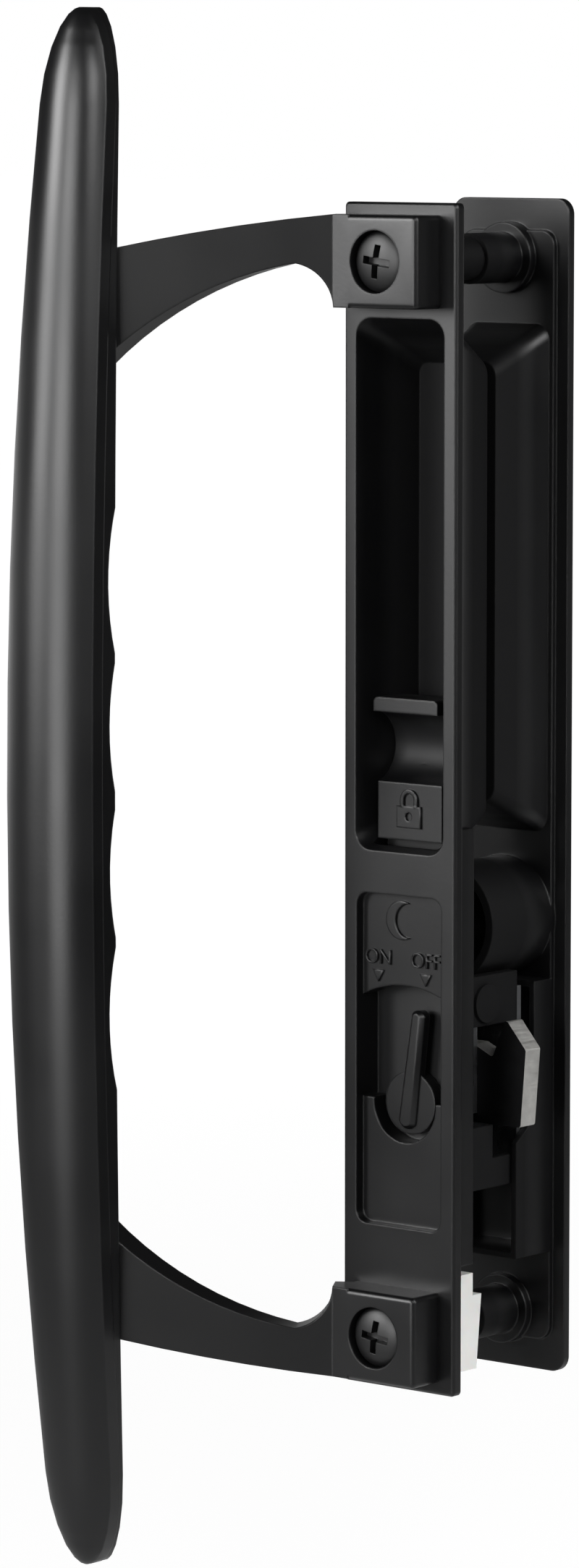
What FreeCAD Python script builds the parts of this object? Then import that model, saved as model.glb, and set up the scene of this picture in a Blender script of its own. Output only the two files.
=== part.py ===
import FreeCAD
import Part
import Sketcher
import math
import os
from types import SimpleNamespace

# Sliding patio door handle set: an inside plate with pull handle, finger cup, thumb slide, hook latch
# and night-lock lever, and an outside plate with a flush finger cup, joined through the door's stile.
# Frame: origin midway between the two fixing screws, on the face of the inside plate that lies on the
# door. +X points to the lock edge of the door, +Y into the door, +Z up. Millimetres.

SIZES = {
    # Fixing pattern and door
    "fixing_centres": 168.3,
    "stile_thickness": 26.0,
    "screw_hole": 4.8,
    "running_gap": 0.3,
    "slide_gap": 0.2,
    "shaft_gap": 0.05,
    # Inside plate
    "plate_width": 22.4,
    "plate_length": 186.4,
    "plate_thick": 1.8,
    "plate_corner": 0.8,
    "plate_edge": 0.4,
    # Finger cup of the inside plate
    "cup_width": 17.6,
    "cup_top": 75.3,
    "cup_drop": 8.1,
    "cup_depth": 12.0,
    "cup_floor_width": 11.4,
    "cup_end_slope": 7.3,
    "cup_foot_slope": 5.1,
    "cup_corner": 3.0,
    "cup_wall": 1.2,
    "rail_width": 1.5,
    "rail_spacing": 6.5,
    # Pocket with the night-lock lever
    "bridge_height": 6.7,
    "pocket_width": 17.0,
    "pocket_height": 52.6,
    "pocket_recess": 1.6,
    "pocket_corner": 2.0,
    "window_radius": 18.8,
    "window_drop": 0.5,
    "notch_radius": 6.2,
    "well_width": 20.0,
    "well_depth": 4.5,
    "well_floor": 1.0,
    "well_top": 4.0,
    "well_length": 69.0,
    # Lock case behind the pocket
    "case_width": 15.8,
    "case_top": 28.0,
    "case_length": 34.0,
    "case_wall": 1.5,
    "case_back": 18.2,
    "case_post": 1.6,
    "hook_port_top": 36.0,
    "hook_port_front": 6.0,
    "cover_thick": 1.0,
    "cover_top_gap": 0.8,
    "cover_screw_radius": 1.0,
    "cover_screw_length": 5.0,
    "cover_head_radius": 1.8,
    "cover_head_height": 1.1,
    "stud_height": 32.4,
    "stud_depth": 10.2,
    "stud_head_radius": 3.1,
    "stud_head_height": 0.6,
    "stud_radius": 1.5,
    "stud_reach": 0.8,
    # Screw bosses
    "inner_boss_radius": 3.3,
    "outer_boss_radius": 4.0,
    "outer_boss_length": 10.8,
    "boss_base_radius": 5.6,
    "boss_base_height": 1.4,
    "boss_bore_floor": 1.4,
    # Pull handle
    "foot_width": 16.4,
    "foot_height": 14.4,
    "foot_thick": 6.3,
    "foot_round": 0.8,
    "counterbore_radius": 4.875,
    "counterbore_depth": 2.6,
    "bar_offset": 43.0,
    "bar_standoff": 33.7,
    "bar_half_length": 123.3,
    "bar_bow": 8.0,
    "bar_width": 18.0,
    "bar_taper": 5.7,
    "bar_tip": 15.0,
    "bar_crown": 4.0,
    "bar_cap": 2.4,
    "bar_step": 0.6,
    "bar_rear_mid": 7.2,
    "bar_rear_end": 4.2,
    "bar_rear_round": 1.2,
    "arm_thick": 5.0,
    "arm_land": 6.4,
    "arm_drop": 31.0,
    "arm_outer_slope": 0.17,
    "arm_outer_bend": 300.0,
    "arm_inner_slope": 0.54,
    "arm_inner_bend": 58.0,
    "arm_bevel": 0.09,
    "arm_root_height": 7.6,
    "arm_root_round": 6.0,
    "arm_root_bend": 7.2,
    "arm_front_room": 8.0,
    "arm_overlap": 3.0,
    "scallop_pitch": 22.4,
    "scallop_depth": 2.4,
    "scallop_radius": 40.0,
    # Fixing screws
    "screw_radius": 2.08,
    "screw_length": 30.0,
    "screw_head_radius": 4.75,
    "screw_head_height": 2.4,
    "screw_head_rim": 1.0,
    # Thumb slide
    "slide_width": 12.8,
    "slide_drop": 6.4,
    "slide_rise": 16.0,
    "slide_travel": 5.0,
    "flag_recess": 2.7,
    "flag_thick": 2.3,
    "flag_top": 2.6,
    "scoop_recess": 7.0,
    "slide_wall": 1.0,
    "lip_recess": 1.5,
    "lip_height": 2.3,
    "lip_round": 0.9,
    # Steel carrier between the slide and the hook
    "carrier_width": 9.0,
    "carrier_thick": 1.5,
    "carrier_top": 15.6,
    "carrier_web": 30.8,
    "carrier_bottom": 50.5,
    "carrier_relief": 3.5,
    "carrier_relief_top": 40.0,
    "tab_reach": 6.0,
    "tab_width": 2.1,
    "tab_height": 36.5,
    "rivet_radius": 1.0,
    "rivet_head_radius": 1.8,
    "rivet_head_height": 0.7,
    "rivet_depth": 1.6,
    "upper_rivet": 13.4,
    "lower_rivet": 4.4,
    # Hook
    "hook_front": 12.4,
    "hook_thick": 3.7,
    "hook_bottom": 52.0,
    "hook_nose": 14.2,
    "hook_rake": 1.0,
    "hook_ramp_top": 39.6,
    "hook_tip_height": 34.9,
    "hook_tip": 10.15,
    "hook_notch": 7.6,
    "hook_notch_height": 41.3,
    "hook_shoulder": 3.75,
    "hook_top": 39.5,
    "hook_tail": 6.0,
    "hook_arm_height": 4.0,
    "hook_heel": 1.2,
    "hook_round": 0.5,
    "hook_rivet_x": 1.8,
    "hook_rivet_upper": 43.6,
    "hook_rivet_lower": 48.4,
    # Latch spring on its guide pin
    "spring_x": 3.7,
    "spring_radius": 1.55,
    "spring_wire": 0.5,
    "spring_turns": 5.0,
    "guide_radius": 0.9,
    "guide_length": 10.5,
    # Night-lock lever and its cam
    "pivot_height": 48.0,
    "lever_recess": 2.0,
    "lever_thick": 2.0,
    "lever_length": 15.5,
    "lever_heel": 0.3,
    "lever_lean": 7.5,
    "hub_step": 1.0,
    "finger_bevel": 0.7,
    "finger_ease": 0.15,
    "lever_root_width": 3.4,
    "lever_tip_width": 2.6,
    "hub_radius": 5.0,
    "shaft_radius": 2.0,
    "square_width": 2.8,
    "stub_radius": 1.2,
    "stub_length": 1.2,
    "cam_radius": 5.0,
    "cam_thick": 2.0,
    "lobe_radius": 10.0,
    "lobe_width": 2.4,
    "lobe_root_width": 3.6,
    "clip_radius": 3.2,
    "clip_thick": 0.6,
    "leaf_gap": 0.4,
    "leaf_thick": 0.5,
    "leaf_width": 1.4,
    # Nylon spacer on the lower screw
    "spacer_width": 10.0,
    "spacer_top": 79.5,
    "spacer_bottom": 91.4,
    "spacer_depth": 13.0,
    "spacer_foot_depth": 11.8,
    "tongue_gap": 2.9,
    "tongue_depth": 10.8,
    "spacer_bore": 5.0,
    # Outside plate
    "outer_width": 23.2,
    "outer_length": 187.0,
    "outer_thick": 1.8,
    "outer_corner": 2.5,
    "outer_edge": 0.5,
    "field_side_inset": 2.4,
    "field_end_inset": 5.0,
    "field_rise": 0.8,
    "outer_cup_width": 15.0,
    "outer_cup_floor": 10.6,
    "outer_cup_top": 74.0,
    "outer_cup_drop": 6.8,
    "outer_cup_depth": 12.6,
    "outer_cup_end": 7.0,
    "outer_cup_corner": 2.5,
    "outer_cup_wall": 1.2,
    "cylinder_radius": 9.4,
    "cylinder_height": 20.3,
    "cylinder_front": 10.0,
    "cylinder_bore": 8.0,
    "cylinder_floor": 1.6,
    "box_wall": 1.0,
    "box_top": 30.0,
    "box_length": 44.0,
    "box_low_rim": 21.0,
    "box_high_rim": 16.5,
    "box_step_top": 52.0,
    "box_step_drop": 3.5,
}


# Flats on the drawn spring wire, the bands of a screw's domed head as shares of its radius and rise, spans of
# the bar between its middle and each tip, and the angles round a tip at which the bar has a section
WIRE_FLAT_COUNT = 4
HEAD_BANDS = ((0.4, 1.0), (0.8, 0.55))
BAR_SPAN_COUNT = 6
TIP_ANGLES = (18.0, 36.0, 53.0, 68.0, 79.0, 87.0)


class Length:
    """A number together with the sheet expression that gives it."""

    def __init__(self, value, text):
        self.value = float(value)
        self.text = text

    def __add__(self, other):
        other = length(other)
        return Length(self.value + other.value, f"({self.text} + {other.text})")

    def __sub__(self, other):
        other = length(other)
        return Length(self.value - other.value, f"({self.text} - {other.text})")

    def __mul__(self, other):
        other = length(other)
        return Length(self.value * other.value, f"({self.text} * {other.text})")

    def __truediv__(self, other):
        other = length(other)
        return Length(self.value / other.value, f"({self.text} / {other.text})")

    def __neg__(self):
        return Length(-self.value, f"(-{self.text})")

    def __radd__(self, other):
        return length(other) + self

    def __rsub__(self, other):
        return length(other) - self

    def __rmul__(self, other):
        return length(other) * self

    def root(self):
        return Length(math.sqrt(self.value), f"sqrt({self.text})")


def length(value):
    """Returns a plain number as a Length, and a Length as it is."""
    if isinstance(value, Length):
        return value
    return Length(value, repr(value))


doc = FreeCAD.newDocument("patio_door_handle")
sheet = doc.addObject("Spreadsheet::Sheet", "Sizes")
for row, (alias, size) in enumerate(SIZES.items(), start=1):
    sheet.set(f"A{row}", alias)
    sheet.set(f"B{row}", str(size))
    sheet.setAlias(f"B{row}", alias)
doc.recompute()
S = SimpleNamespace(**{alias: Length(sheet.get(alias), f"Sizes.{alias}") for alias in SIZES})

NODES = []


def new_body(name, node=True):
    """Starts a body. A node is exported under its own name."""
    body = doc.addObject("PartDesign::Body", name)
    body.Label = name
    if node:
        NODES.append(body)
    return body


def place(item, x=0, y=0, z=0):
    """Puts an object at a point whose coordinates stay bound to the sheet."""
    point = [length(x), length(y), length(z)]
    item.Placement = FreeCAD.Placement(
        FreeCAD.Vector(*(c.value for c in point)), item.Placement.Rotation)
    for axis, coordinate in zip("xyz", point):
        item.setExpression(f"Placement.Base.{axis}", coordinate.text)


def flat(x, y):
    return FreeCAD.Vector(length(x).value, length(y).value, 0)


def bind(drawing, constraint, size):
    """Adds a constraint and ties its datum to the sheet."""
    index = drawing.addConstraint(constraint)
    drawing.setExpression(f"Constraints[{index}]", size.text)


def fix_point(drawing, edge, end, x, y):
    """Ties one point of an edge to the sheet, or to an axis where its coordinate is nought."""
    for kind, axis, coordinate in (("DistanceX", -2, x), ("DistanceY", -1, y)):
        if isinstance(coordinate, Length):
            bind(drawing, Sketcher.Constraint(kind, -1, 1, edge, end, coordinate.value), coordinate)
        else:
            drawing.addConstraint(Sketcher.Constraint("PointOnObject", edge, end, axis))


def arc_edge(start, finish, radius, turn):
    """A short arc from start to finish. turn is 1 for an anticlockwise arc and -1 for a clockwise one."""
    chord = finish - start
    reach = math.sqrt(max(radius ** 2 - chord.Length ** 2 / 4, 0.0))
    left = FreeCAD.Vector(-chord.y, chord.x, 0).normalize()
    centre = (start + finish) * 0.5 + left * reach * turn
    first, last = (start, finish) if turn > 0 else (finish, start)
    angles = [math.atan2(p.y - centre.y, p.x - centre.x) for p in (first, last)]
    circle = Part.Circle(centre, FreeCAD.Vector(0, 0, 1), radius)
    return Part.ArcOfCircle(circle, angles[0], angles[1])


def add_outline(drawing, points):
    """Adds a closed outline. A point (x, y, radius, turn) is reached by an arc, and (x, y) by a line."""
    base = drawing.GeometryCount
    ends = []
    for here, there in zip(points, points[1:] + points[:1]):
        start, finish = flat(*here[:2]), flat(*there[:2])
        if len(there) == 2:
            drawing.addGeometry(Part.LineSegment(start, finish))
            ends.append((1, 2))
        else:
            drawing.addGeometry(arc_edge(start, finish, there[2].value, there[3]))
            ends.append((1, 2) if there[3] > 0 else (2, 1))
    count = len(points)
    for i in range(count):
        after = (i + 1) % count
        drawing.addConstraint(
            Sketcher.Constraint("Coincident", base + i, ends[i][1], base + after, ends[after][0]))
    for i, here in enumerate(points):
        fix_point(drawing, base + i, ends[i][0], *here[:2])
    for i, there in enumerate(points[1:] + points[:1]):
        if len(there) > 2:
            bind(drawing, Sketcher.Constraint("Radius", base + i, there[2].value), there[2])


def add_circle(drawing, x, y, radius):
    edge = drawing.addGeometry(Part.Circle(flat(x, y), FreeCAD.Vector(0, 0, 1), radius.value))
    fix_point(drawing, edge, 3, x, y)
    bind(drawing, Sketcher.Constraint("Radius", edge, radius.value), radius)


def sketch(body, name, plane, offset, loops):
    """Draws loops on a plane of the body's own origin, moved along the plane's normal by offset."""
    drawing = body.newObject("Sketcher::SketchObject", name + "_sketch")
    support = [item for item in body.Origin.OriginFeatures if item.Role == plane + "_Plane"]
    drawing.AttachmentSupport = [(support[0], "")]
    drawing.MapMode = "FlatFace"
    offset = length(offset)
    drawing.AttachmentOffset = FreeCAD.Placement(
        FreeCAD.Vector(0, 0, offset.value), FreeCAD.Rotation())
    drawing.setExpression("AttachmentOffset.Base.z", offset.text)
    for loop in loops:
        if isinstance(loop, tuple):
            add_circle(drawing, *loop)
        else:
            add_outline(drawing, loop)
    return drawing


def pad(body, name, plane, low, high, *loops):
    """Adds the solid between two levels along the plane's axis. An XZ sketch faces -Y."""
    low, high = length(low), length(high)
    drawing = sketch(body, name, plane, -high if plane == "XZ" else low, loops)
    feature = body.newObject("PartDesign::Pad", name)
    feature.Profile = drawing
    feature.Length = (high - low).value
    feature.setExpression("Length", (high - low).text)
    doc.recompute()
    return feature


def pocket(body, name, plane, low, high, *loops):
    """Cuts away the space between two levels along the plane's axis, and checks that something went."""
    low, high = length(low), length(high)
    before = body.Shape.Volume
    drawing = sketch(body, name, plane, -low if plane == "XZ" else high, loops)
    feature = body.newObject("PartDesign::Pocket", name)
    feature.Profile = drawing
    feature.Length = (high - low).value
    feature.setExpression("Length", (high - low).text)
    doc.recompute()
    if body.Shape.Volume >= before:
        raise RuntimeError(f"{body.Label}: {name} cut nothing")
    return feature


def loft(body, name, kind, plane, *sections):
    """Adds or cuts a loft through sections, each given as (level along the plane's axis, outline)."""
    drawings = []
    for number, (level, outline) in enumerate(sections):
        offset = -length(level) if plane == "XZ" else level
        drawings.append(sketch(body, f"{name}_{number}", plane, offset, [outline]))
    feature = body.newObject(f"PartDesign::{kind}Loft", name)
    feature.Profile = drawings[0]
    feature.Sections = drawings[1:]
    feature.Ruled = True
    doc.recompute()
    return feature


def revolve(body, name, outline):
    """Turns an outline drawn on the XY plane about the body's own Y axis."""
    drawing = sketch(body, name, "XY", 0, [outline])
    feature = body.newObject("PartDesign::Revolution", name)
    feature.Profile = drawing
    feature.ReferenceAxis = (drawing, ["V_Axis"])
    feature.Angle = 360
    doc.recompute()
    return feature


def dress_edges(body, name, kind, setting, size, chosen):
    """Dresses the edges of the body's tip that the chosen test picks with a fillet or a chamfer."""
    base = body.Tip
    names = [f"Edge{i}" for i, edge in enumerate(base.Shape.Edges, start=1) if chosen(edge)]
    feature = body.newObject(f"PartDesign::{kind}", name)
    feature.Base = (base, names)
    setattr(feature, setting, size.value)
    feature.setExpression(setting, size.text)
    doc.recompute()
    return feature


def round_edges(body, name, radius, chosen):
    """Fillets the chosen edges."""
    return dress_edges(body, name, "Fillet", "Radius", radius, chosen)


def bevel_edges(body, name, size, chosen):
    """Chamfers the chosen edges."""
    return dress_edges(body, name, "Chamfer", "Size", size, chosen)


def lies_at(axis, level):
    """A test for edges that lie wholly on one level of an axis."""
    return lambda edge: all(abs(getattr(v.Point, axis) - level.value) < 1e-6 for v in edge.Vertexes)


def runs_along(axis):
    """A test for straight edges parallel to an axis."""
    def test(edge):
        if not isinstance(edge.Curve, Part.Line):
            return False
        return abs(abs(getattr(edge.Curve.Direction, axis)) - 1) < 1e-6
    return test


def box(x0, x1, y0, y1):
    return [(x0, y0), (x1, y0), (x1, y1), (x0, y1)]


def round_box(x0, x1, y0, y1, radius):
    """A rectangle with round corners, anticlockwise, whose first point is reached by the last corner."""
    return [
        (x0 + radius, y0, radius, 1), (x1 - radius, y0), (x1, y0 + radius, radius, 1), (x1, y1 - radius),
        (x1 - radius, y1, radius, 1), (x0 + radius, y1), (x0, y1 - radius, radius, 1), (x0, y0 + radius)]


# Levels and places that several pieces share
fixing = S.fixing_centres / 2
front = -S.plate_thick
cup_floor = front + S.cup_depth
cup_back = cup_floor + S.cup_wall
foot_front = front - S.foot_thick
slide_front = front + S.flag_recess
flag_back = slide_front + S.flag_thick
slide_back = front + S.scoop_recess + S.slide_wall
carrier_back = slide_back + S.carrier_thick
pocket_top = S.cup_drop + S.bridge_height
pocket_face = front + S.pocket_recess
well_bottom = S.well_top + S.well_length
well_face = S.well_depth - S.well_floor
case_bottom = S.case_top + S.case_length
case_inside = S.case_width / 2 - S.case_wall
case_floor = case_bottom - S.case_wall
outer_face = S.stile_thickness
boss_meet = outer_face - S.outer_boss_length
hook_low = S.hook_bottom + S.slide_travel
cover_post_low = case_bottom - S.cover_head_radius - S.slide_gap
cover_post_high = S.case_top + S.case_wall + S.case_post + S.cover_screw_radius
cover_post_x = case_inside - S.case_post / 2
hook_back = S.hook_front + S.hook_thick
spring_depth = S.hook_front + S.hook_thick / 2
arm_bottom = S.hook_top + S.hook_arm_height
cam_front = S.well_depth + S.slide_gap
cam_back = cam_front + S.cam_thick


def make_inside_plate():
    """Die-cast inside plate with finger cup, lever pocket, lock case and upper screw boss."""
    body = new_body("inside_plate")
    half = S.plate_width / 2
    tall = S.plate_length / 2
    pad(body, "plate", "XZ", front, 0, round_box(-half, half, -tall, tall, S.plate_corner))
    bevel_edges(body, "plate_edges", S.plate_edge, lies_at("y", front))

    # Drafted shell of the finger cup behind the plate
    mouth = S.cup_width / 2
    floor = S.cup_floor_width / 2
    draft = (mouth - floor) / S.cup_depth
    wide = mouth + S.cup_wall - draft * S.plate_thick
    foot = S.cup_drop - S.cup_foot_slope
    head = S.cup_top - S.cup_end_slope
    rise = S.plate_thick / S.cup_depth
    base_box = round_box(
        -wide, wide, -(S.cup_drop + S.cup_wall - S.cup_foot_slope * rise),
        S.cup_top + S.cup_wall - S.cup_end_slope * rise, S.cup_corner)
    back_box = round_box(
        -(floor + S.cup_wall), floor + S.cup_wall, -(foot + S.cup_wall), head + S.cup_wall, S.cup_corner)
    loft(body, "cup_shell", "Additive", "XZ", (0, base_box), (cup_back, back_box))

    # Well behind the lever pocket, the lock case on it, and the upper screw boss
    well = S.well_width / 2
    case = S.case_width / 2
    pad(body, "well", "XZ", 0, S.well_depth, box(-well, well, -well_bottom, -S.well_top))
    pad(body, "case", "XZ", S.well_depth, S.case_back, box(-case, case, -case_bottom, -S.case_top))
    pad(body, "upper_boss", "XZ", 0, boss_meet, (0, fixing, S.inner_boss_radius))

    # Hollow of the finger cup, with two rails on its floor that carry the moving strip
    mouth_box = round_box(-mouth, mouth, -S.cup_drop, S.cup_top, S.cup_corner)
    floor_box = round_box(-floor, floor, -foot, head, S.cup_corner - S.cup_wall)
    loft(body, "cup_hollow", "Subtractive", "XZ", (front, mouth_box), (cup_floor, floor_box))
    rail = S.rail_spacing / 2
    half_rail = S.rail_width / 2
    rails = [
        box(side * rail - half_rail, side * rail + half_rail, -foot, S.upper_rivet) for side in (-1, 1)]
    pad(body, "rails", "XZ", carrier_back + S.slide_gap, cup_floor + S.cup_wall / 2, *rails)

    # Room behind the bridge for the slide's flag, and the way out for the carrier strip
    flag = S.slide_width / 2 + S.slide_gap
    flag_low = S.slide_drop + S.slide_travel + 2 * S.running_gap
    pocket(body, "flag_room", "XZ", 0, flag_back + S.running_gap, box(-flag, flag, -flag_low, S.flag_top))
    strip = S.carrier_width / 2 + S.running_gap
    pocket(body, "carrier_way", "XZ", slide_back - S.running_gap, carrier_back + S.running_gap,
           box(-strip, strip, -pocket_top, -foot + S.cup_wall))

    # Shallow pocket, the lever's window in it, and the round notch for the lever's hub
    side = S.pocket_width / 2
    pocket(body, "label_pocket", "XZ", front, pocket_face,
           round_box(-side, side, -(pocket_top + S.pocket_height), -pocket_top, S.pocket_corner))
    shoulder = (S.window_radius * S.window_radius - side * side).root() - S.pivot_height
    sill = S.window_drop - S.pivot_height
    window = [(-side, sill), (side, sill), (side, shoulder), (-side, shoulder, S.window_radius, 1)]
    pocket(body, "lever_window", "XZ", pocket_face, well_face, window)
    pocket(body, "hub_notch", "XZ", pocket_face, well_face, (0, -S.pivot_height, S.notch_radius))
    pocket(body, "shaft_bore", "XZ", well_face, S.well_depth,
           (0, -S.pivot_height, S.shaft_radius + S.shaft_gap))

    # Inside of the lock case, open at the back, with its top cleared for the strip and the cylinder boss
    pocket(body, "case_room", "XZ", S.well_depth, S.case_back,
           box(-case_inside, case_inside, -case_floor, -(S.case_top + S.case_wall)))
    pocket(body, "strip_gate", "XZ", S.well_depth, carrier_back + 2 * S.running_gap,
           box(-strip, strip, -(S.case_top + 2 * S.case_wall), -S.case_top))
    pocket(body, "cylinder_gate", "XZ", carrier_back + 2 * S.running_gap, S.case_back,
           (0, -S.cylinder_height, S.cylinder_radius + S.running_gap))

    # Ports in the lock-edge wall for the hook and its travel, and the stud's hole
    pocket(body, "hook_port", "YZ", case_inside, case,
           box(S.hook_port_front, S.case_back, -S.hook_bottom, -S.hook_port_top))
    pocket(body, "hook_slot", "YZ", case_inside, case,
           box(S.hook_front - S.running_gap, S.case_back, -(hook_low + S.running_gap), -S.hook_bottom))
    pocket(body, "stud_hole", "YZ", case_inside - S.stud_reach, case,
           (S.stud_depth, -S.stud_height, S.stud_radius + S.shaft_gap))

    # Posts for the cover screws, in two opposite corners of the case
    posts = [(cover_post_x, -cover_post_low), (-cover_post_x, -cover_post_high)]
    post_front = hook_back - S.hook_thick / 2
    pad(body, "cover_posts", "XZ", post_front, S.case_back, *[(x, z, S.case_post) for x, z in posts])
    pocket(body, "cover_holes", "XZ", S.case_back - S.cover_screw_length, S.case_back,
           *[(x, z, S.cover_screw_radius + S.shaft_gap) for x, z in posts])

    # Holes for the two fixing screws
    pocket(body, "upper_hole", "XZ", front, boss_meet, (0, fixing, S.screw_hole / 2))
    pocket(body, "lower_hole", "XZ", front, 0, (0, -fixing, S.screw_hole / 2))


def bar_section(z, tip_share):
    """One section of the handle's bar: crowned cap, side walls, a small step and a rounded back."""
    share = z / S.bar_half_length
    half = (S.bar_width - S.bar_taper * share * share) / 2 * tip_share
    crown = S.bar_crown * tip_share
    rim = front - S.bar_standoff + S.bar_bow * share * share
    step = S.bar_step * tip_share
    cap_back = rim + S.bar_cap
    back = rim + S.bar_rear_mid + (S.bar_rear_end - S.bar_rear_mid) * share * share
    crown_radius = (half * half + crown * crown) / (2 * crown)
    rear = half - step
    sag = S.bar_rear_round * tip_share
    rear_radius = (rear * rear + sag * sag) / (2 * sag)
    centre = -S.bar_offset
    return [
        (centre - half, rim), (centre + half, rim, crown_radius, 1),
        (centre + half, cap_back), (centre + rear, cap_back), (centre + rear, back - sag),
        (centre - rear, back - sag, rear_radius, 1), (centre - rear, cap_back), (centre - half, cap_back)]


def make_bar():
    """The bowed grip bar, lofted through sections that follow its bow, taper and round tips."""
    body = new_body("grip_bar", node=False)
    straight = S.bar_half_length - S.bar_tip
    stations = [(straight * step / BAR_SPAN_COUNT, length(1)) for step in range(BAR_SPAN_COUNT + 1)]
    for angle in TIP_ANGLES:
        along = math.sin(math.radians(angle))
        shrink = math.cos(math.radians(angle))
        stations.append((straight + S.bar_tip * along, length(shrink)))
    ends = [(-z, share) for z, share in reversed(stations[1:])] + stations
    loft(body, "bar", "Additive", "XY", *[(z, bar_section(z, share)) for z, share in ends])
    return body


def make_arm():
    """One arm: a bevelled blade from the foot's edge to the bar, in its own plane behind the grip."""
    blade = new_body("arm_blade", node=False)
    run = S.bar_offset - S.foot_width / 2 - S.arm_land
    back_at_arm = front - S.bar_standoff + S.bar_bow / 2 + (S.bar_rear_mid + S.bar_rear_end) / 2
    lean = foot_front - back_at_arm + S.bar_rear_round
    reach = (run * run + lean * lean).root() + S.bar_width / 2
    top = fixing + S.foot_height / 2
    bottom = fixing - S.foot_height / 2
    root = top - S.arm_root_height

    def outline(depth):
        fall = S.arm_bevel * depth
        return [
            (S.arm_overlap, top), (0, top), (-reach, top - S.arm_outer_slope * reach, S.arm_outer_bend, 1),
            (-reach, root - (S.arm_inner_slope + fall) * reach),
            (-S.arm_root_round, root - fall, S.arm_inner_bend, -1), (0, bottom, S.arm_root_bend, -1),
            (S.arm_overlap, bottom)]

    loft(blade, "blade", "Additive", "XZ",
         (-S.arm_front_room, outline(-S.arm_front_room / S.arm_thick)), (S.arm_thick, outline(length(1))))
    place(blade, -S.foot_width / 2, foot_front, 0)
    blade.setExpression("Placement.Rotation.Angle", f"atan2({lean.text}; {run.text})")

    plan = new_body("arm_plan", node=False)
    edge = -S.foot_width / 2
    slope = lean / run
    rear_half = S.bar_width / 2 - S.bar_step - S.bar_rear_round
    near = -S.bar_offset + S.arm_land
    far = -S.bar_offset - rear_half + S.bar_taper / 4
    rear_face = foot_front + S.arm_thick + S.running_gap
    inside_bar = back_at_arm - S.bar_rear_end / 2
    turn_x = -S.bar_offset + S.bar_step
    shape = [
        (edge, foot_front), (edge + S.arm_overlap, foot_front), (edge + S.arm_overlap, rear_face),
        (edge, rear_face), (turn_x, rear_face + slope * (turn_x - edge)),
        (far, inside_bar), (near, inside_bar), (near, foot_front + slope * (near - edge))]
    pad(plan, "plan", "XY", bottom - S.arm_drop, top + S.arm_overlap, shape)
    arm = doc.addObject("Part::Common", "arm")
    arm.Base = blade
    arm.Tool = plan
    twin = doc.addObject("Part::Mirroring", "lower_arm")
    twin.Source = arm
    twin.Normal = FreeCAD.Vector(0, 0, 1)
    return [arm, twin]


def make_foot(name, side):
    """One foot of the handle, with rounded front edges."""
    body = new_body(name, node=False)
    half = S.foot_width / 2
    tall = S.foot_height / 2
    pad(body, name + "_block", "XZ", foot_front, front, box(-half, half, -tall, tall))
    round_edges(body, name + "_round", S.foot_round,
                lambda e: lies_at("y", foot_front)(e) and not lies_at("x", -half)(e) or
                runs_along("y")(e) and lies_at("x", half)(e))
    place(body, 0, 0, side * fixing)
    return body


def drill(name, x, y, z, radius, depth, axis):
    """A cutting cylinder that starts at a point and runs along an axis."""
    tool = doc.addObject("Part::Cylinder", name)
    tool.setExpression("Radius", length(radius).text)
    tool.setExpression("Height", length(depth).text)
    place(tool, x, y, z)
    tool.Placement.Rotation = FreeCAD.Rotation(FreeCAD.Vector(0, 0, 1), axis)
    return tool


def make_pull_handle():
    """Pull handle, one casting: bowed bar, two arms and two feet."""
    pieces = [make_bar(), *make_arm(), make_foot("upper_foot", 1), make_foot("lower_foot", -1)]
    whole = doc.addObject("Part::MultiFuse", "handle_casting")
    whole.Shapes = pieces
    along_y = FreeCAD.Vector(0, 1, 0)
    along_x = FreeCAD.Vector(1, 0, 0)
    tools = []
    for name, side in (("upper", 1), ("lower", -1)):
        tools.append(drill(name + "_clearance", 0, foot_front, side * fixing, S.screw_hole / 2,
                           S.foot_thick, along_y))
        tools.append(drill(name + "_counterbore", 0, foot_front, side * fixing, S.counterbore_radius,
                           S.counterbore_depth, along_y))
    back = front - S.bar_standoff + S.bar_rear_mid
    for step in (-1.5, -0.5, 0.5, 1.5):
        tools.append(drill("finger_scallop", -S.bar_offset - S.bar_width / 2,
                           back - S.scallop_depth + S.scallop_radius, step * S.scallop_pitch,
                           S.scallop_radius, S.bar_width, along_x))
    cutters = doc.addObject("Part::MultiFuse", "handle_cutters")
    cutters.Shapes = tools
    handle = doc.addObject("Part::Cut", "pull_handle")
    handle.Label = "pull_handle"
    handle.Base = whole
    handle.Tool = cutters
    handle.Refine = True
    NODES.append(handle)


def make_fixing_screw(name, side):
    """Fixing screw with a domed head. It stands on the counterbore's floor."""
    body = new_body(name)
    seat = foot_front + S.counterbore_depth
    top = seat - S.screw_head_height
    rim = seat - S.screw_head_rim
    half = S.screw_head_radius
    dome = S.screw_head_height - S.screw_head_rim
    tip = seat + S.screw_length
    crown = [(half * wide, rim - dome * high) for wide, high in HEAD_BANDS]
    revolve(body, "turned", [
        (0, top), *crown, (half, rim), (half, seat), (S.screw_radius, seat), (S.screw_radius, tip), (0, tip)])
    place(body, 0, 0, side * fixing)


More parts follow.
